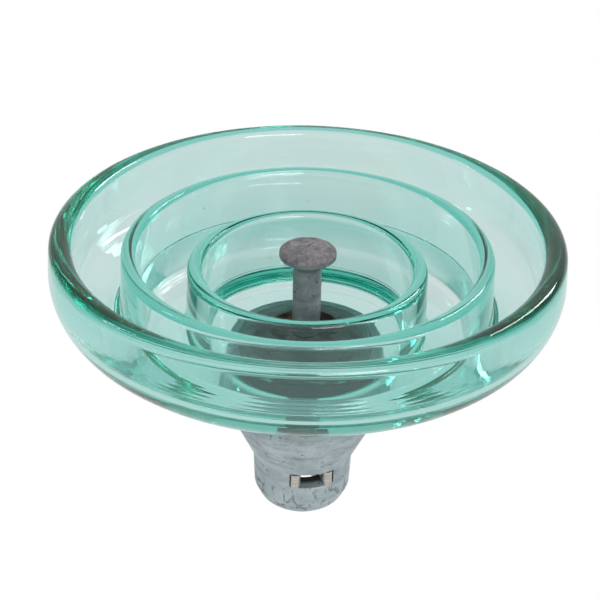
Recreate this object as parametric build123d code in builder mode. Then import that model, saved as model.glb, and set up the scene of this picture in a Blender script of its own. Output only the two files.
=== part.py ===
"""Cap-and-pin disc insulator of toughened glass, standing on the end of its cap.

The insulator hangs in a string by ball-and-socket couplings. Each unit's pin ends in
a ball, and each unit's cap holds a socket that the next ball slides into sideways. A
W-shaped locking clip in the cap's window stops the ball from lifting out again.

The origin is the centre of the cap's end face. +Z runs along the axis from the cap to
the pin's ball. The window of the locking clip faces -Y and the ball enters from +Y.
"""

import os
from math import radians, tan

from build123d import *

# ---- Driving dimensions, in millimetres ----

# Glass disc
disc_radius = 146.5  # where the dish's and the rim's straight outsides would meet
crest_radius = 144.2
rim_top = 180.7  # crest of the outer rim
rim_width = 12.0
rim_foot = (130.0, 145.0)  # radius and height of the foot of the rim's inner wall
rim_foot_round = 10.0
edge_round = 36.0
dish_slope = 34.0  # degrees, of the outer part of the dish
dish_knee = (99.0, 111.0)  # radius and height where the dish flattens
dish_knee_round = 45.0
root_slope = 10.0  # degrees, of the dish beside the cap

# Glass ribs: radius of the crest's middle, crest height, height of the outer and inner foot
rib_width = 8.2
rib_draft = 1.0  # how much wider the rib is on each side at its foot
outer_rib = {"radius": 100.9, "top": 170.4, "outer_foot": 134.0, "inner_foot": 118.0}
inner_rib = {"radius": 63.8, "top": 160.3, "outer_foot": 121.4, "inner_foot": 115.0}
foot_round = 3.0
crest_flat = 0.1  # width of the flat between the two rounds of a crest

# Glass head, the hollow stem that the cap grips
head_radius = 32.4
head_end = 45.9
head_round = 22.0
neck_radius = 31.0
neck_round = 3.2
pin_hole_radius = 19.0
pin_hole_wide = 22.7
pin_hole_end = 58.5
pin_hole_round = 11.5
hub_face = 118.0

# Cap
cap_crown = 42.0  # height of the floor inside the cap
cap_mouth = 100.0
cap_coat = 0.3  # thickness of the bitumen on the inside of the cap
cap_cement_top = 99.7
cap_pad_radius = 12.0
# Corners (radius, height, round): end face, socket body, shoulder and bead round the mouth
cap_outside = [
    (0, 0, 0),
    (18.5, 0, 3),
    (24.8, 5, 8),
    (28.4, 12.5, 6),
    (29.4, 34, 8),
    (43.5, 63.3, 12),
    (44.2, 92.5, 2),
    (46.0, 94.5, 1.5),
    (46.0, cap_mouth, 1.5),
    (0, cap_mouth, 0),
]
# The cement chamber narrows below the mouth, which locks the cement in
chamber_wall = [
    (38.8, 64.5, 12),
    (40.2, 84.0, 3),
    (38.2, 90.0, 2),
    (38.2, 95.0, 2),
]
chamber_floor_radius = 27.5
chamber_floor_round = 5.0
chamber_mouth_radius = 40.0

# Socket in the cap, for a 16 mm ball-and-socket coupling
neck_slot_radius = 9.8
socket_radius = 17.8
seat_low = 10.4
seat_high = 18.7
entry_sill = 15.0
socket_roof = 35.3
entry_round = 6.0
socket_reach = 40.0  # past the outside of the cap
window_width = 26.4
window_low = 25.0
window_high = 35.0
window_round = 1.0

# Locking clip, a bent strip on edge
strip_thickness = 1.4
strip_low = 25.15
strip_height = 8.85
bend_spacing = 19.0  # between the middles of the two outer bends
bend_radius = 2.4
bend_reach = -27.4
arch_reach = 5.5
foot_reach = 15.0
foot_line = 1.2
bend_slack = 0.05  # keeps a bend's round just short of half the distance between its legs

# Ball pin, 16 mm coupling
shank_radius = 8.1
ball_radius = 16.2
ball_top = 170.4
ball_face_edge = 169.5
ball_face_radius = 14.6
land_low = 165.1
land_high = 168.1
shank_end = 160.2  # where the shank would meet the ball's conical underside
ball_neck_round = 4.0
ball_land_low_round = 0.8
ball_land_high_round = 1.2
pin_end = 61.8
# The anchor cone that is buried in the cement, as corners (radius, height, round)
anchor_wall = [
    (15.5, 66.0, 2),
    (15.5, 69.0, 3),
    (shank_radius, 94.0, 30),
]
anchor_end_radius = 12.0
anchor_end_round = 1.5
pin_coat = 0.3
pin_coat_top = 116.3
pin_cement_top = 115.6
pin_pad_radius = 10.5


# ---- Glass shell ----


def rib_corners(rib):
    """Corners of one rib, from its outer foot over the crest to its inner foot."""
    outer = rib["radius"] + rib_width / 2
    inner = rib["radius"] - rib_width / 2
    crest_round = (rib_width - crest_flat) / 2
    return [
        (outer + rib_draft, rib["outer_foot"], foot_round),
        (outer, rib["top"], crest_round),
        (inner, rib["top"], crest_round),
        (inner - rib_draft, rib["inner_foot"], foot_round),
    ]


def glass_corners():
    """Corners (radius, height, round) of the shell's half section, from the head's end."""
    knee_radius, knee_height = dish_knee
    neck_height = knee_height - (knee_radius - neck_radius) * tan(radians(root_slope))
    edge_height = knee_height + (disc_radius - knee_radius) * tan(radians(dish_slope))
    crest_round = (rim_width - crest_flat) / 2
    outside = [
        (0, head_end, 0),
        (head_radius, head_end, head_round),
        (neck_radius, neck_height, neck_round),
        (knee_radius, knee_height, dish_knee_round),
        (disc_radius, edge_height, edge_round),
    ]
    rim = [
        (crest_radius, rim_top, crest_round),
        (crest_radius - rim_width, rim_top, crest_round),
        (*rim_foot, rim_foot_round),
    ]
    pin_hole = [
        (pin_hole_radius, hub_face, foot_round),
        (pin_hole_wide, pin_hole_end, pin_hole_round),
        (0, pin_hole_end, 0),
    ]
    return outside + rim + rib_corners(outer_rib) + rib_corners(inner_rib) + pin_hole


def half_section(corners):
    """Closed outline in the XZ plane through corners given as (radius, height, round)."""
    points = [(radius, height) for radius, height, _ in corners]
    FilletPolyline(*points, radius=[bend for _, _, bend in corners], close=True)


with BuildPart() as glass_shell:
    with BuildSketch(Plane.XZ):
        with BuildLine():
            half_section(glass_corners())
        make_face()
    revolve(axis=Axis.Z)


# ---- Cap ----


def cap_bore(inset):
    """Corners of the cap's cement chamber, drawn in from the iron by inset."""
    floor = cap_crown + inset
    (shoulder_radius, shoulder_height, shoulder_round), *upper_wall = chamber_wall
    return [
        (0, floor, 0),
        (chamber_floor_radius - inset, floor, chamber_floor_round),
        (shoulder_radius - inset, shoulder_height + inset, shoulder_round),
        *[(radius - inset, height, bend) for radius, height, bend in upper_wall],
        (chamber_mouth_radius - inset, cap_mouth, 0),
        (0, cap_mouth, 0),
    ]


with BuildPart() as cap:
    # Casting: rounded end, straight socket body, flared shoulder and beaded mouth
    with BuildSketch(Plane.XZ):
        with BuildLine():
            half_section(cap_outside)
        make_face()
    revolve(axis=Axis.Z)
    with BuildSketch(Plane.XZ):
        with BuildLine():
            half_section(cap_bore(0))
        make_face()
    revolve(axis=Axis.Z, mode=Mode.SUBTRACT)
    # Socket: round chamber with a conical seat above the neck
    with BuildSketch(Plane.XZ):
        with BuildLine():
            Polyline(
                (0, 0),
                (neck_slot_radius, 0),
                (neck_slot_radius, seat_low),
                (socket_radius, seat_high),
                (socket_radius, socket_roof),
                (0, socket_roof),
                close=True,
            )
        make_face()
    revolve(axis=Axis.Z, mode=Mode.SUBTRACT)
    # Way in for the ball's shank and head, open towards +Y
    with BuildSketch(Plane.XZ):
        with Locations((0, socket_roof / 2)):
            Rectangle(2 * neck_slot_radius, socket_roof)
    extrude(amount=-socket_reach, mode=Mode.SUBTRACT)
    with BuildSketch(Plane.XZ):
        with Locations((0, (entry_sill + socket_roof) / 2)):
            entry = Rectangle(2 * socket_radius, socket_roof - entry_sill)
        fillet(entry.vertices().group_by(Axis.Z)[-1], entry_round)
    extrude(amount=-socket_reach, mode=Mode.SUBTRACT)
    # Window for the locking clip, through the wall opposite
    with BuildSketch(Plane.XZ):
        with Locations((0, (window_low + window_high) / 2)):
            RectangleRounded(window_width, window_high - window_low, window_round)
    extrude(amount=socket_reach, mode=Mode.SUBTRACT)

with BuildPart() as cap_lining:
    with BuildSketch(Plane.XZ):
        with BuildLine():
            half_section(cap_bore(0))
        make_face()
        with BuildLine():
            half_section(cap_bore(cap_coat))
        make_face(mode=Mode.SUBTRACT)
    revolve(axis=Axis.Z)

with BuildPart() as cap_pad:
    with BuildSketch(Plane.XY.offset(cap_crown + cap_coat)):
        Circle(cap_pad_radius)
    extrude(amount=head_end - cap_crown - cap_coat)

with BuildPart() as cap_cement:
    with BuildSketch(Plane.XZ):
        with BuildLine():
            half_section(cap_bore(cap_coat))
        make_face()
    revolve(axis=Axis.Z)
    split(bisect_by=Plane.XY.offset(cap_cement_top), keep=Keep.BOTTOM)
    add(glass_shell.part, mode=Mode.SUBTRACT)
    add(cap_pad.part, mode=Mode.SUBTRACT)
    with BuildSketch(Plane.XY.offset(pin_hole_end)):
        Circle(pin_hole_wide)
    extrude(amount=cap_mouth - pin_hole_end, mode=Mode.SUBTRACT)


# ---- Ball pin ----


def anchor_corners(grow):
    """Corners of the cone that is buried in the cement, grown by the thickness of a coat."""
    return [
        (0, pin_end - grow, 0),
        (anchor_end_radius + grow, pin_end - grow, anchor_end_round),
        *[(radius + grow, height, bend) for radius, height, bend in anchor_wall],
    ]


with BuildPart() as ball_pin:
    with BuildSketch(Plane.XZ):
        with BuildLine():
            stem_corners = anchor_corners(0) + [
                (shank_radius, shank_end, ball_neck_round),
                (ball_radius, land_low, ball_land_low_round),
                (ball_radius, land_high, ball_land_high_round),
                (ball_face_radius, ball_face_edge, 0),
            ]
            stem = FilletPolyline(
                *[(radius, height) for radius, height, _ in stem_corners],
                radius=[bend for _, _, bend in stem_corners[1:-1]],
            )
            TangentArc((0, ball_top), stem @ 1, tangent=(1, 0))
            Line((0, ball_top), (0, pin_end))
        make_face()
    revolve(axis=Axis.Z)

with BuildPart() as pin_coating:
    with BuildSketch(Plane.XZ):
        with BuildLine():
            half_section(
                anchor_corners(pin_coat)
                + [(shank_radius + pin_coat, pin_coat_top, 0), (0, pin_coat_top, 0)]
            )
        make_face()
    revolve(axis=Axis.Z)
    add(ball_pin.part, mode=Mode.SUBTRACT)

with BuildPart() as pin_pad:
    with BuildSketch(Plane.XY.offset(pin_hole_end)):
        Circle(pin_pad_radius)
    extrude(amount=pin_end - pin_coat - pin_hole_end)

with BuildPart() as pin_cement:
    with BuildSketch(Plane.XY.offset(pin_hole_end)):
        Circle(pin_hole_wide)
    extrude(amount=pin_cement_top - pin_hole_end)
    for buried in (glass_shell, ball_pin, pin_coating, pin_pad):
        add(buried.part, mode=Mode.SUBTRACT)


# ---- Locking clip ----

with BuildPart() as locking_clip:
    with BuildSketch(Plane.XY.offset(strip_low)):
        with BuildLine() as strip:
            outer_leg = bend_spacing / 2 + bend_radius
            inner_leg = bend_spacing / 2 - bend_radius
            left_half = [
                (foot_reach, foot_line, bend_radius),
                (outer_leg, foot_line, bend_radius),
                (outer_leg, bend_reach, bend_radius - bend_slack),
                (inner_leg, bend_reach, bend_radius - bend_slack),
                (inner_leg, arch_reach, inner_leg - 2 * bend_slack),
            ]
            corners = [(-x, y, bend) for x, y, bend in left_half] + left_half[::-1]
            FilletPolyline(
                *[(x, y) for x, y, _ in corners],
                radius=[bend for _, _, bend in corners[1:-1]],
            )
        trace(strip.line, line_width=strip_thickness)
    extrude(amount=strip_height)


# ---- Labels and files ----

pieces = {
    "glass_shell": glass_shell,
    "cap": cap,
    "cap_lining": cap_lining,
    "cap_pad": cap_pad,
    "cap_cement": cap_cement,
    "ball_pin": ball_pin,
    "pin_coating": pin_coating,
    "pin_pad": pin_pad,
    "pin_cement": pin_cement,
    "locking_clip": locking_clip,
}

os.makedirs("parts", exist_ok=True)
for label, piece in pieces.items():
    piece.part.label = label
    export_step(piece.part, f"parts/{label}.step")
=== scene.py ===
"""Looks for the cap-and-pin glass disc insulator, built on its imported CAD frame.

The frame's origin is the centre of the cap's end face and +Z runs along the axis from
the cap to the pin's ball. The glass, the pin and both beds of cement are built again here
as finer meshes; the other pieces keep their CAD meshes. Lengths are in mm where nothing
else is said.
"""

from math import acos, atan2, cos, degrees, hypot, pi, radians, sin, tan

import bpy
from mathutils import Matrix, Vector, noise


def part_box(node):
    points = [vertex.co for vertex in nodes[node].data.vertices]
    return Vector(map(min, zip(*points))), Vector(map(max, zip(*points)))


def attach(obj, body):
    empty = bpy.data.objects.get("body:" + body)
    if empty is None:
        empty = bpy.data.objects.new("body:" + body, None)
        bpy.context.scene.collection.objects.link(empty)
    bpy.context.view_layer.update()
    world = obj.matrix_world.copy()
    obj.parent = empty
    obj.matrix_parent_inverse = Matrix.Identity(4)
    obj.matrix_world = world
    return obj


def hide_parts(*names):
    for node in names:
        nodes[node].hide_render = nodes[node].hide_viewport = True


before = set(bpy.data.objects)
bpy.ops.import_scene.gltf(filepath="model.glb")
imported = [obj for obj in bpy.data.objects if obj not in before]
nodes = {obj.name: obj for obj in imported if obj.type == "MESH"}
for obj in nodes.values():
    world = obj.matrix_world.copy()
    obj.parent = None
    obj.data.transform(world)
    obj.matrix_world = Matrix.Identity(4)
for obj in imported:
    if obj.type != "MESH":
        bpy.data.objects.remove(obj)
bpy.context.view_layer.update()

MM = 0.001  # a millimetre, in metres
ON_AXIS = 1e-6  # a point nearer than this to the axis lies on it

# ---- Mesh helpers ----


def rounded_corner(before, corner, after, bend, arc_step):
    """Points of the arc of radius bend that rounds a corner between its neighbours."""
    fewest_cuts = 3
    back = (before - corner).normalized()
    ahead = (after - corner).normalized()
    half = acos(max(-1.0, min(1.0, back.dot(ahead)))) / 2
    centre = corner + (back + ahead).normalized() * bend / sin(half)
    first = corner + back * bend / tan(half) - centre
    last = corner + ahead * bend / tan(half) - centre
    start = atan2(first.y, first.x)
    sweep = (atan2(last.y, last.x) - start + pi) % (2 * pi) - pi
    cuts = max(fewest_cuts, int(degrees(abs(sweep)) / arc_step) + 1)
    turns = [start + sweep * i / cuts for i in range(cuts + 1)]
    return [centre + bend * Vector((cos(turn), sin(turn))) for turn in turns]


def rounded_outline(corners, arc_step=4.0, longest=6.0, shoulder=0.3):
    """Points of a closed outline through corners given as (radius, height, round).

    Arcs are cut every arc_step degrees. Straight stretches get a point a shoulder's
    length from each end, which keeps their smooth shading flat, and one every longest mm.
    """
    places = [Vector((radius, height)) for radius, height, bend in corners]
    turned = []
    for i, corner in enumerate(places):
        bend = corners[i][2]
        if bend > 0:
            after = places[(i + 1) % len(places)]
            turned += rounded_corner(places[i - 1], corner, after, bend, arc_step)
        else:
            turned.append(corner)
    outline = []
    for i, point in enumerate(turned):
        ahead = turned[(i + 1) % len(turned)] - point
        outline.append(point)
        along_axis = max(point.x, (point + ahead).x) <= ON_AXIS
        if ahead.length > 3 * shoulder and not along_axis:
            way = ahead.normalized()
            inner = ahead.length - 2 * shoulder
            cuts = max(1, int(inner / longest + 0.5))
            outline += [point + way * (shoulder + inner * j / cuts) for j in range(cuts + 1)]
    return outline


def lathe(name, outline, segments, push=None, sharp=60.0):
    """A solid turned about +Z from a closed outline that runs anticlockwise.

    push(place, outward) gives how far a point moves along its outward normal. Faces that
    meet at more than sharp degrees keep a sharp edge between them.
    """
    count = len(outline)
    points = []
    rings = []
    for i, point in enumerate(outline):
        along = (outline[(i + 1) % count] - outline[i - 1]).normalized()
        if point.x < ON_AXIS:
            rings.append([len(points)] * segments)
            points.append(Vector((0, 0, point.y)) * MM)
            continue
        rings.append(range(len(points), len(points) + segments))
        for k in range(segments):
            turn = 2 * pi * k / segments
            place = Vector((point.x * cos(turn), point.x * sin(turn), point.y))
            if push:
                outward = Vector((along.y * cos(turn), along.y * sin(turn), -along.x))
                place = place + outward * push(place, outward)
            points.append(place * MM)
    faces = []
    for i, here in enumerate(rings):
        there = rings[(i + 1) % count]
        for k in range(segments):
            ahead = (k + 1) % segments
            around = [here[k], here[ahead], there[ahead], there[k]]
            face = [p for n, p in enumerate(around) if p not in around[:n]]
            if len(face) > 2:
                faces.append(face)
    mesh = bpy.data.meshes.new(name)
    mesh.from_pydata(points, [], faces)
    mesh.polygons.foreach_set("use_smooth", [True] * len(mesh.polygons))
    mesh.set_sharp_from_angle(angle=radians(sharp))
    piece = bpy.data.objects.new(name, mesh)
    bpy.context.scene.collection.objects.link(piece)
    return piece


def lumps(place, size, seed=0.0):
    """Smooth noise from about -1 to 1 whose lumps are about size mm across."""
    return noise.noise(place / size + Vector((seed, seed, seed)))


def stand_in(piece, finish, node):
    """Gives a piece its finish and lets it replace a CAD node of the insulator's body."""
    piece.data.materials.append(finish)
    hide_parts(node)
    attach(piece, "insulator")


# ---- Node trees and materials ----


class Nodes:
    """A node tree, with short calls for the nodes that the finishes and the sky share."""

    def __init__(self, tree):
        self.tree = tree

    def node(self, kind, inputs=None, **settings):
        """A node with its settings, and its inputs set to values or linked to sockets."""
        made = self.tree.nodes.new(kind)
        for key, value in settings.items():
            setattr(made, key, value)
        for key, value in (inputs or {}).items():
            self.set(made.inputs[key], value)
        return made

    def set(self, socket, value):
        """Links a socket to another one, or gives it a plain value or colour."""
        if isinstance(value, bpy.types.NodeSocket):
            self.tree.links.new(value, socket)
        elif isinstance(value, tuple) and len(value) == 3 and socket.type == "RGBA":
            socket.default_value = (*value, 1.0)
        else:
            socket.default_value = value

    def spread(self, value, low, high, out_low=0.0, out_high=1.0):
        """Value stretched from low..high to out_low..out_high and held there."""
        inputs = {
            "Value": value,
            "From Min": low,
            "From Max": high,
            "To Min": out_low,
            "To Max": out_high,
        }
        return self.node("ShaderNodeMapRange", inputs).outputs["Result"]

    def maths(self, how, first, second=0.0):
        """The result of a maths node."""
        return self.node("ShaderNodeMath", {0: first, 1: second}, operation=how).outputs[0]

    def zone(self, value, start, full, last, end):
        """1 where value lies between full and last, fading to 0 at start and at end."""
        rise = self.spread(value, start, full)
        fall = self.spread(value, last, end, 1, 0)
        return self.maths("MULTIPLY", rise, fall)

    def seen_or_lit(self, seen, lit):
        """A value that is seen for the camera's own rays and lit for all others."""
        seen_directly = self.node("ShaderNodeLightPath").outputs["Is Camera Ray"]
        return self.node("ShaderNodeMix", {0: seen_directly, 2: lit, 3: seen}).outputs[0]


class Finish(Nodes):
    """A material with a Principled shader, and short calls for its patterns."""

    def __init__(self, name):
        self.material = bpy.data.materials.new(name)
        self.material.use_nodes = True
        super().__init__(self.material.node_tree)
        self.shader = self.tree.nodes["Principled BSDF"]
        self.place = self.node("ShaderNodeTexCoord").outputs["Object"]

    def surface(self, **values):
        """Sets the shader's inputs, with _ standing for a space in their names."""
        for key, value in values.items():
            self.set(self.shader.inputs[key.replace("_", " ")], value)
        return self.material

    def stretched(self, x, y, z):
        """Coordinates pressed by these factors, so that a pattern draws out along an axis."""
        mapping = {"Vector": self.place, "Scale": (x, y, z)}
        return self.node("ShaderNodeMapping", mapping).outputs["Vector"]

    def cloud(self, size, detail=3.0, rough=0.55, at=None, distort=0.0):
        """Noise from 0 to 1 with lumps about size mm across."""
        inputs = {
            "Vector": at or self.place,
            "Scale": 1 / (size * MM),
            "Detail": detail,
            "Roughness": rough,
            "Distortion": distort,
        }
        return self.node("ShaderNodeTexNoise", inputs).outputs["Fac"]

    def cells(self, size, feature="F1", at=None):
        """Distance from the middle or the edge of cells about size mm across."""
        inputs = {"Vector": at or self.place, "Scale": 1 / (size * MM)}
        return self.node("ShaderNodeTexVoronoi", inputs, feature=feature).outputs["Distance"]

    def blend(self, share, first, second):
        """Two colours mixed by share."""
        inputs = {0: share, 6: first, 7: second}
        return self.node("ShaderNodeMix", inputs, data_type="RGBA").outputs[2]

    def height(self):
        """Height in the frame, in mm."""
        split = self.node("ShaderNodeSeparateXYZ", {"Vector": self.place})
        return self.maths("MULTIPLY", split.outputs["Z"], 1 / MM)

    def reach(self):
        """Distance from the frame's axis, in mm."""
        inputs = {0: self.place, 1: (1.0, 1.0, 0.0)}
        flat = self.node("ShaderNodeVectorMath", inputs, operation="MULTIPLY").outputs["Vector"]
        length = self.node("ShaderNodeVectorMath", {0: flat}, operation="LENGTH")
        return self.maths("MULTIPLY", length.outputs["Value"], 1 / MM)

    def bump(self, value, depth, normal=None):
        """A normal for bumps of depth mm."""
        inputs = {"Height": value, "Strength": 1.0, "Distance": depth * MM}
        if normal:
            inputs["Normal"] = normal
        return self.node("ShaderNodeBump", inputs).outputs["Normal"]


def darker(colour, share):
    """A colour dimmed to a share of its brightness."""
    return tuple(share * part for part in colour)


glass_index = 1.51
glass_density = 24.0  # per metre
glass_passes = (0.05, 0.785, 0.70)  # the share of red, green and blue that a density of 1 spares


def glass_finish():
    """Clear sea-green glass: its colour comes from the depth of glass that light crosses."""
    clear = (1.0, 1.0, 1.0)
    yellowish = (1.0, 0.97, 0.78)
    dust = (0.22, 0.24, 0.2)
    look = Finish("sea_green_glass")
    # A few faint yellowish stains, and specks of dust and seed
    stain = look.spread(look.cloud(95, detail=2), 0.62, 0.74, 0, 0.2)
    tint = look.blend(stain, clear, yellowish)
    speck = look.spread(look.cells(26), 0.02, 0.032, 0.55, 0)
    tint = look.blend(speck, tint, dust)
    smear = look.spread(look.cloud(30, detail=4), 0.45, 0.75, 0, 0.035)
    look.surface(
        Base_Color=tint,
        Roughness=smear,
        IOR=glass_index,
        Transmission_Weight=1.0,
        Normal=look.bump(look.cloud(14, detail=1.5), 0.02),
    )
    inputs = {"Color": (*glass_passes, 1), "Density": glass_density}
    depth = look.node("ShaderNodeVolumeAbsorption", inputs)
    look.set(look.tree.nodes["Material Output"].inputs["Volume"], depth.outputs["Volume"])
    return look.material


def zinc_finish(name, pale, deep, flake_tint, pit_spacing, pit_dirt, grain):
    """Hot-dip galvanised iron: matt zinc with soft clouds, streaks, flakes and dark pits.

    Returns the finish, its colour, its roughness and its normal, to be worked on further.
    """
    dirt = (0.03, 0.034, 0.034)
    look = Finish(name)
    cloud = look.cloud(16, detail=5, rough=0.6)
    colour = look.blend(look.spread(cloud, 0.36, 0.64), deep, pale)
    streak = look.cloud(20, detail=5, at=look.stretched(1, 1, 4.5))
    streak = look.spread(streak, 0.5, 0.72, 0, 0.6)
    colour = look.blend(streak, colour, darker(deep, 0.62))
    flake = look.cells(3.2, at=look.stretched(1, 1, 0.8))
    flake = look.spread(flake, 0.1, 0.75, 0, 0.28)
    colour = look.blend(flake, colour, flake_tint)
    fine = look.cloud(grain, detail=3)
    grit = look.spread(fine, 0.56, 0.72, 0, 0.45)
    colour = look.blend(grit, colour, darker(deep, 0.5))
    # Pits hold dirt; they come in patches
    pit = look.spread(look.cells(pit_spacing), 0.14, 0.24, 1, 0)
    patch = look.spread(look.cloud(9, detail=2), 0.48, 0.56)
    pit = look.maths("MULTIPLY", pit, patch)
    colour = look.blend(look.maths("MULTIPLY", pit, pit_dirt), colour, dirt)
    rough = look.spread(look.cloud(5, detail=4), 0.35, 0.7, 0.46, 0.68)
    normal = look.bump(look.cloud(11, detail=2), 0.35)
    normal = look.bump(fine, 0.14, normal)
    normal = look.bump(look.maths("SUBTRACT", 1.0, pit), 0.25, normal)
    return look, colour, rough, normal


def cap_finish():
    """The cap's zinc, bluish and pale, stained brown half way up, cracked near its end and
    painted nearly black with shade inside its socket.
    """
    look, colour, rough, normal = zinc_finish(
        "galvanised_iron",
        pale=(0.52, 0.61, 0.64),
        deep=(0.33, 0.415, 0.44),
        flake_tint=(0.45, 0.535, 0.57),
        pit_spacing=4.5,
        pit_dirt=0.5,
        grain=1.3,
    )
    rust_brown = (0.25, 0.21, 0.17)
    crack_grey = (0.09, 0.10, 0.105)
    # The next colour is the painted shade inside the socket
    socket_shade_colour = (0.035, 0.037, 0.036)
    # Heights: where each layer starts, is full, is full last and ends
    rust_heights = (40, 50, 60, 72)
    crack_heights = (2, 6, 20, 24)
    socket_shade_heights = (2, 9, 37, 40)
    socket_shade_reach = (22, 25)  # painted shade full out to the first radius, gone from the second
    height = look.height()
    rust = look.cloud(17, detail=6, rough=0.65, at=look.stretched(1, 1, 5))
    rust = look.spread(rust, 0.55, 0.7, 0, 0.75)
    rust = look.maths("MULTIPLY", rust, look.zone(height, *rust_heights))
    colour = look.blend(rust, colour, rust_brown)
    crack = look.cells(7, "DISTANCE_TO_EDGE", at=look.stretched(1, 1, 0.6))
    crack = look.spread(crack, 0.02, 0.09, 1, 0)
    crack = look.maths("MULTIPLY", crack, look.zone(height, *crack_heights))
    torn = look.spread(look.cloud(6, detail=4), 0.5, 0.58)
    crack = look.maths("MULTIPLY", crack, torn)
    colour = look.blend(look.maths("MULTIPLY", crack, 0.5), colour, crack_grey)
    normal = look.bump(look.maths("SUBTRACT", 1.0, crack), 0.6, normal)
    # The socket's inside is painted nearly black: painted shade in its recess
    socket_shade = look.spread(look.reach(), *socket_shade_reach, 0.93, 0)
    socket_shade = look.maths("MULTIPLY", socket_shade, look.zone(height, *socket_shade_heights))
    colour = look.blend(socket_shade, colour, socket_shade_colour)
    return look.surface(Base_Color=colour, Roughness=rough, Metallic=0.3, Normal=normal)


def pin_finish():
    """The pin's zinc, darker than the cap's, with a purplish ball, a pitted shank and painted
    shade at the shank's foot.
    """
    look, colour, rough, normal = zinc_finish(
        "galvanised_steel",
        pale=(0.44, 0.47, 0.48),
        deep=(0.22, 0.235, 0.245),
        flake_tint=(0.38, 0.37, 0.39),
        pit_spacing=4.0,
        pit_dirt=0.85,
        grain=0.8,
    )
    worn_dark = (0.10, 0.09, 0.105)
    worn_pale = (0.40, 0.35, 0.38)
    foot_shade_colour = (0.07, 0.075, 0.08)
    ball_heights = (164, 168)  # the wear starts at the first height and is full at the second
    foot_shade_heights = (119, 140)  # painted shade, darkest below the first height and gone from the second
    height = look.height()
    wear = look.spread(height, *ball_heights, 0, 0.6)
    mottle = look.spread(look.cloud(4.5, detail=5, rough=0.7, distort=0.8), 0.4, 0.6)
    colour = look.blend(wear, colour, look.blend(mottle, worn_dark, worn_pale))
    # Painted shade darkens the shank towards the hole in the glass that it stands in
    colour = look.blend(look.spread(height, *foot_shade_heights, 0.55, 0), colour, foot_shade_colour)
    normal = look.bump(look.maths("MULTIPLY", wear, mottle), 0.5, normal)
    return look.surface(Base_Color=colour, Roughness=rough, Metallic=0.35, Normal=normal)


def cement_finish(name, pale, deep, damp):
    """Sandy cement: fine aggregate, voids and damp or rusty patches."""
    look = Finish(name)
    sand = look.cloud(0.9, detail=4, rough=0.7)
    colour = look.blend(look.spread(sand, 0.35, 0.65), deep, pale)
    patch = look.spread(look.cloud(12, detail=4), 0.42, 0.6)
    colour = look.blend(patch, damp, colour)
    void = look.spread(look.cells(1.8), 0.12, 0.25, 1, 0)
    colour = look.blend(look.maths("MULTIPLY", void, 0.7), colour, darker(deep, 0.3))
    relief = look.maths("SUBTRACT", sand, look.maths("MULTIPLY", void, 0.6))
    return look.surface(Base_Color=colour, Roughness=0.92, Normal=look.bump(relief, 0.5))


def bitumen_finish():
    """Brushed-on bitumen: nearly black, with a dull sheen and brush lines."""
    tar_black = (0.012, 0.011, 0.010)
    tar_brown = (0.035, 0.03, 0.026)
    look = Finish("bitumen_paint")
    brush = look.cloud(4, detail=4, at=look.stretched(1, 1, 0.25))
    colour = look.blend(look.spread(brush, 0.35, 0.7), tar_black, tar_brown)
    rough = look.spread(brush, 0.3, 0.7, 0.34, 0.55)
    return look.surface(Base_Color=colour, Roughness=rough, Normal=look.bump(brush, 0.15))


def cork_finish():
    """Pressed cork granules with dark gaps."""
    pale_cork = (0.42, 0.25, 0.12)
    deep_cork = (0.24, 0.13, 0.06)
    gap_brown = (0.07, 0.035, 0.015)
    granule_size = 2.2
    look = Finish("pressed_cork")
    granule = look.spread(look.cells(granule_size), 0.1, 0.7)
    gap = look.spread(look.cells(granule_size, "DISTANCE_TO_EDGE"), 0.02, 0.12, 1, 0)
    colour = look.blend(granule, pale_cork, deep_cork)
    colour = look.blend(look.maths("MULTIPLY", gap, 0.7), colour, gap_brown)
    normal = look.bump(look.maths("SUBTRACT", 1.0, gap), 0.2)
    return look.surface(Base_Color=colour, Roughness=0.88, Normal=normal)


def clip_finish():
    """Cold-rolled stainless strip: fine lines along the strip, warm and a little dull."""
    line_dark = (0.47, 0.46, 0.43)
    line_bright = (0.70, 0.69, 0.66)
    dull_brown = (0.40, 0.37, 0.32)
    look = Finish("stainless_strip")
    line = look.cloud(6, detail=5, at=look.stretched(0.35, 0.35, 14))
    colour = look.blend(look.spread(line, 0.35, 0.68), line_dark, line_bright)
    dull = look.spread(look.cloud(7, detail=3), 0.42, 0.66, 0, 0.5)
    colour = look.blend(dull, colour, dull_brown)
    rough = look.spread(line, 0.3, 0.7, 0.28, 0.46)
    normal = look.bump(line, 0.03)
    return look.surface(Base_Color=colour, Roughness=rough, Metallic=0.75, Normal=normal)


# ---- Glass, with the CAD's dimensions ----

disc_radius = 146.5  # where the dish's and the rim's straight outsides would meet
crest_radius = 144.2
rim_top = 180.7
rim_width = 12.0
rim_foot = (130.0, 145.0)  # radius and height of the foot of the rim's inner wall
rim_foot_round = 10.0
edge_round = 36.0
knee = (99.0, 111.0)  # radius and height where the dish flattens
knee_round = 45.0
dish_slope = 34.0  # degrees, of the outer part of the dish
root_slope = 10.0  # degrees, of the dish beside the cap
rib_draft = 1.0  # how much wider a rib is on each side at its foot
rib_width = 8.2
outer_rib = {"radius": 100.9, "top": 170.4, "outer_foot": 134.0, "inner_foot": 118.0}
inner_rib = {"radius": 63.8, "top": 160.3, "outer_foot": 121.4, "inner_foot": 115.0}
foot_round = 3.0
crest_flat = 0.1  # width of the flat between the two rounds of a crest
head_end = 45.9
head_radius = 32.4
head_round = 22.0
neck_radius = 31.0
neck_round = 3.2
hub_face = 118.0
pin_hole_radius = 19.0
pin_hole_wide = 22.7
pin_hole_end = 58.5
pin_hole_round = 11.5

neck_height = knee[1] - (knee[0] - neck_radius) * tan(radians(root_slope))
edge_height = knee[1] + (disc_radius - knee[0]) * tan(radians(dish_slope))


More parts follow.
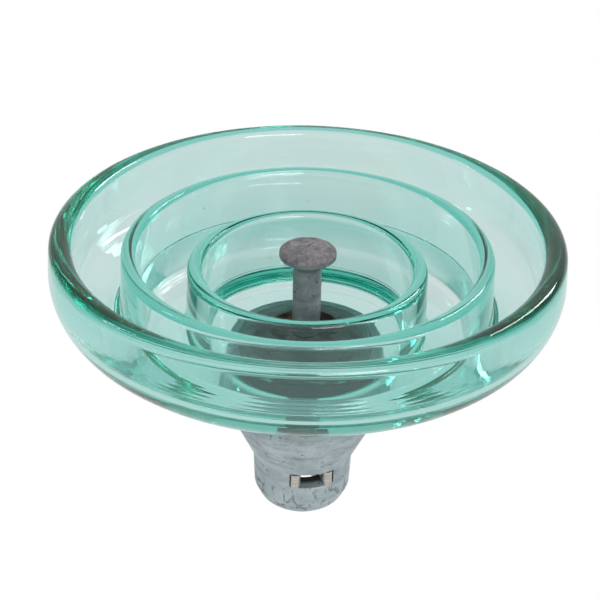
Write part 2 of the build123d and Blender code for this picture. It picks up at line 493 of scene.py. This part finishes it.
def rib_corners(rib):
    """Corners of one rib, from its outer foot over the crest to its inner foot."""
    outer = rib["radius"] + rib_width / 2
    inner = rib["radius"] - rib_width / 2
    rib_round = (rib_width - crest_flat) / 2
    return [
        (outer + rib_draft, rib["outer_foot"], foot_round),
        (outer, rib["top"], rib_round),
        (inner, rib["top"], rib_round),
        (inner - rib_draft, rib["inner_foot"], foot_round),
    ]


rim_round = (rim_width - crest_flat) / 2
# Outside from the head's end to the rim's crest, then back over the ribs into the pin's hole
glass_corners = [
    (0, head_end, 0),
    (head_radius, head_end, head_round),
    (neck_radius, neck_height, neck_round),
    (*knee, knee_round),
    (disc_radius, edge_height, edge_round),
    (crest_radius, rim_top, rim_round),
    (crest_radius - rim_width, rim_top, rim_round),
    (*rim_foot, rim_foot_round),
    *rib_corners(outer_rib),
    *rib_corners(inner_rib),
    (pin_hole_radius, hub_face, foot_round),
    (pin_hole_wide, pin_hole_end, pin_hole_round),
    (0, pin_hole_end, 0),
]


def glass_ripple(place, outward):
    """Pressed glass isn't quite even: long, shallow waves in its skin."""
    return 0.06 * lumps(place, 34) + 0.025 * lumps(place, 13, 5)


glass_segments = 224
glass = lathe("glass_disc", rounded_outline(glass_corners), glass_segments, glass_ripple)
stand_in(glass, glass_finish(), "glass_shell")

# ---- Ball pin ----

pin_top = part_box("ball_pin")[1].z / MM
pin_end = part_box("ball_pin")[0].z / MM
ball_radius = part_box("ball_pin")[1].x / MM
pin_cement_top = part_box("pin_cement")[1].z / MM
anchor_end_radius = 12.0
anchor_radius = 15.5
anchor_low = 66.0
anchor_high = 69.0
shank_radius = 8.1
shank_start = 94.0  # where the anchor's cone ends
shank_end = 160.2  # where the shank would meet the ball's conical underside
land_low = 165.1
land_high = 168.1
ball_face_radius = 14.6
ball_face_edge = 169.5
crown_radius = 5.0
crown_drop = 0.06  # how much lower than the ball's top its face is at crown_radius
# The anchor's end, cone and shank, then the ball's underside, land, edge and domed face
pin_corners = [
    (0, pin_end, 0),
    (anchor_end_radius, pin_end, 1.5),
    (anchor_radius, anchor_low, 2),
    (anchor_radius, anchor_high, 3),
    (shank_radius, shank_start, 30),
    (shank_radius, shank_end, 4),
    (ball_radius, land_low, 0.8),
    (ball_radius, land_high, 1.2),
    (ball_face_radius, ball_face_edge, 3.0),
    (crown_radius, pin_top - crown_drop, 40.0),
    (0, pin_top, 0),
]


def zinc_skin(place, outward):
    """The zinc on the bare part of the pin lies in small lumps, broken here and there by pits."""
    if place.z < pin_cement_top:
        return 0.0
    spot = max(0.0, lumps(place, 1.5, 9) - 0.35)
    patch = max(0.0, lumps(place, 7, 3) + 0.1)
    pit_depth = 1.8 * spot * patch
    return 0.16 * lumps(place, 4.5) + 0.09 * lumps(place, 1.8, 2) - pit_depth


pin_segments = 180
pin = lathe("pin_forging", rounded_outline(pin_corners, longest=0.9), pin_segments, zinc_skin)
stand_in(pin, pin_finish(), "ball_pin")

# ---- Cement ----

contact = 0.15  # how far cement reaches into the glass it is bonded to
coat = 0.3  # thickness of the bitumen on the pin and inside the cap
coated_shank = shank_radius + coat
coated_anchor = anchor_radius + coat
coated_end = pin_end - coat
pad_clearance_radius = 10.6
smear_radius = pin_hole_radius + 1.6  # cement left on the rounded rim of the hole
# The trowelled top from the smear inwards, down the coated pin, round the pad and up the hole
bed_corners = [
    (smear_radius + 0.3, hub_face - 0.7, 0),
    (smear_radius, hub_face - 0.1, 0.2),
    (pin_hole_radius + 0.4, hub_face - 1.1, 0.5),
    (pin_hole_radius - 1.0, pin_cement_top + 0.6, 1),
    (coated_shank, pin_cement_top, 0),
    (coated_shank, shank_start + 0.4, 30),
    (coated_anchor, anchor_high + 0.1, 3),
    (coated_anchor, anchor_low - 0.1, 2),
    (anchor_end_radius + 0.2, coated_end, 1),
    (pad_clearance_radius, coated_end, 0),
    (pad_clearance_radius, pin_hole_end - contact, 0),
    (pin_hole_wide + contact, pin_hole_end - contact, pin_hole_round),
    (pin_hole_radius + contact, hub_face - 5.0, 0),
    (pin_hole_radius + 0.5, pin_cement_top, 0),
]

upward_enough = 0.7  # a normal that rises by more than this is on top
edge_fade = 1.5  # the roughness fades out over this distance from the bed's edges


def bed_surface(place, outward):
    """Trowelled cement round the pin is rough on top and fades out at its two edges."""
    if outward.z < upward_enough or place.z < pin_cement_top - 2:
        return 0.0
    reach = hypot(place.x, place.y)
    inside = min(1.0, max(0.0, min(reach - coated_shank, smear_radius - reach) / edge_fade))
    rough = 0.75 * lumps(place, 5.5) + 0.4 * lumps(place, 2.2, 7) + 0.2 * lumps(place, 0.9, 4)
    return inside * rough


cement_segments = 150
bed_outline = rounded_outline(bed_corners, longest=0.8)
bed = lathe("pin_cement_bed", bed_outline, cement_segments, bed_surface)
rusty_cement = cement_finish(
    "pin_cement",
    pale=(0.22, 0.16, 0.11),
    deep=(0.07, 0.05, 0.035),
    damp=(0.014, 0.011, 0.009),
)
stand_in(bed, rusty_cement, "pin_cement")

cap_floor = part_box("cap_cement")[0].z / MM
collar_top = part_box("cap_cement")[1].z / MM
collar_touch = neck_radius + (collar_top - neck_height - contact) / tan(radians(root_slope))
cap_pad_radius = 12.0
chamber_floor_radius = 27.5
chamber_shoulder = (38.8, 64.5)  # radius and height, as is the next value
chamber_wide = (40.2, 84.0)
chamber_lock = 38.2  # radius of the chamber's lip, which locks the cement in
chamber_mouth = 40.0
# Up the cap's coated chamber to its mouth, then down the glass head to the pad
collar_corners = [
    (cap_pad_radius, cap_floor, 0),
    (chamber_floor_radius - coat, cap_floor, 5),
    (chamber_shoulder[0] - coat, chamber_shoulder[1] + coat, 12),
    (chamber_wide[0] - coat, chamber_wide[1], 3),
    (chamber_lock - coat, 90.0, 1.5),
    (chamber_lock - coat, 95.0, 1),
    (chamber_mouth - coat, collar_top, 0.4),
    (collar_touch, collar_top, 0),
    (neck_radius - contact, neck_height + contact, neck_round),
    (head_radius - contact, head_end + contact, head_round),
    (cap_pad_radius, head_end + contact, 0),
]


def collar_surface(place, outward):
    """The cement's edge under the dish is smoothed by finger, so it waves a little."""
    if outward.z < upward_enough or place.z < collar_top - 1:
        return 0.0
    return 0.3 * lumps(place, 6) + 0.15 * lumps(place, 1.6, 3)


collar_outline = rounded_outline(collar_corners, longest=1.5)
collar = lathe("cap_cement_bed", collar_outline, cement_segments, collar_surface)
grey_cement = cement_finish(
    "cap_cement",
    pale=(0.31, 0.31, 0.26),
    deep=(0.18, 0.175, 0.145),
    damp=(0.13, 0.125, 0.10),
)
stand_in(collar, grey_cement, "cap_cement")

# ---- Finishes of the pieces that keep their CAD meshes ----

bitumen = bitumen_finish()
cork = cork_finish()
finishes = {
    "cap": cap_finish(),
    "cap_lining": bitumen,
    "pin_coating": bitumen,
    "cap_pad": cork,
    "pin_pad": cork,
    "locking_clip": clip_finish(),
}
for node, finish in finishes.items():
    mesh = nodes[node].data
    mesh.materials.clear()
    mesh.materials.append(finish)
    mesh.polygons.foreach_set("material_index", [0] * len(mesh.polygons))

# ---- Floor, surroundings and lights ----

white = (1.0, 1.0, 1.0)
black = (0.0, 0.0, 0.0)

floor_half = 15.0  # metres, as is the next value
floor_height = -0.0002
floor_glow = 0.8
floor_corners = [
    (-floor_half, -floor_half, floor_height),
    (floor_half, -floor_half, floor_height),
    (floor_half, floor_half, floor_height),
    (-floor_half, floor_half, floor_height),
]
floor_mesh = bpy.data.meshes.new("floor")
floor_mesh.from_pydata(floor_corners, [], [(0, 1, 2, 3)])
floor = bpy.data.objects.new("floor", floor_mesh)
bpy.context.scene.collection.objects.link(floor)
paper = Finish("white_paper")
paper.surface(Base_Color=black, Roughness=1.0, Specular_IOR_Level=0.0)
paper.surface(Emission_Color=white, Emission_Strength=paper.seen_or_lit(1.0, floor_glow))
floor_mesh.materials.append(paper.material)

# The camera sees a white room; the glass sees it dimmer overhead and at the two sides
horizon_glow = 0.78
overhead_glow = 0.15
dimming_starts = 0.55  # the rise of a direction, 0 level and 1 straight up
flag_glow = 0.35  # the share of light that dark flags at the camera's two sides let through
flags_start = 0.4  # how far a direction turns to the side, 0 ahead and 1 fully sideways
flags_full = 0.8
view_turn = radians(-12.6)
world = bpy.data.worlds.new("studio")
bpy.context.scene.world = world
world.use_nodes = True
sky = Nodes(world.node_tree)
direction = sky.node("ShaderNodeTexCoord").outputs["Generated"]
rise = sky.node("ShaderNodeSeparateXYZ", {0: direction}).outputs["Z"]
room_glow = sky.spread(rise, dimming_starts, 1.0, horizon_glow, overhead_glow)
camera_right = (cos(view_turn), sin(view_turn), 0)
facing = {0: direction, 1: camera_right}
sideways = sky.node("ShaderNodeVectorMath", facing, operation="DOT_PRODUCT").outputs["Value"]
flags = sky.spread(sky.maths("ABSOLUTE", sideways), flags_start, flags_full, 1.0, flag_glow)
room_light = sky.maths("MULTIPLY", room_glow, flags)
background = sky.tree.nodes["Background"]
sky.set(background.inputs["Color"], white)
sky.set(background.inputs["Strength"], sky.seen_or_lit(1.0, room_light))

light_aim = Vector((0, 0, 0.1))  # metres


def soft_light(name, place, width, height, power):
    """A rectangular soft light at place, in metres and watts, aimed at the insulator."""
    lamp = bpy.data.lights.new(name, "AREA")
    lamp.shape = "RECTANGLE"
    lamp.size = width
    lamp.size_y = height
    lamp.energy = power
    light = bpy.data.objects.new(name, lamp)
    bpy.context.scene.collection.objects.link(light)
    light.location = place
    aim = light_aim - light.location
    light.rotation_euler = aim.to_track_quat("-Z", "Y").to_euler()


soft_light("right_softbox", place=(1.1, 0.5, 1.0), width=0.2, height=0.8, power=6)
soft_light("left_softbox", place=(-1.1, 0.3, 1.0), width=0.06, height=0.6, power=1.1)
soft_light("front_softbox", place=(0.2, -1.4, 1.2), width=0.8, height=0.5, power=8)

# ---- Camera ----

view_rise = radians(30.45)
view_roll = radians(1.5)
view_distance = 1.0357  # metres, as is view_aim
view_aim = Vector((-0.0038, 0, 0.1363))
lens = 108.9
sensor = 36.0

away = Vector((0, -cos(view_rise), sin(view_rise)))
across = Vector((1, 0, 0))
upward = across.cross(-away)
across_rolled = cos(view_roll) * across + sin(view_roll) * upward
upward_rolled = cos(view_roll) * upward - sin(view_roll) * across
pose = Matrix((across_rolled, upward_rolled, away)).transposed().to_4x4()
pose.translation = view_aim + away * view_distance
camera_data = bpy.data.cameras.new("camera")
camera_data.lens = lens
camera_data.sensor_width = sensor
camera = bpy.data.objects.new("camera", camera_data)
bpy.context.scene.collection.objects.link(camera)
camera.matrix_world = Matrix.Rotation(view_turn, 4, "Z") @ pose
bpy.context.scene.camera = camera

bounces = 32  # light crosses many faces of thick glass
cycles = bpy.context.scene.cycles
cycles.max_bounces = bounces
cycles.transmission_bounces = bounces
cycles.glossy_bounces = bounces
bpy.context.scene.view_settings.view_transform = "Standard"

bpy.context.view_layer.update()
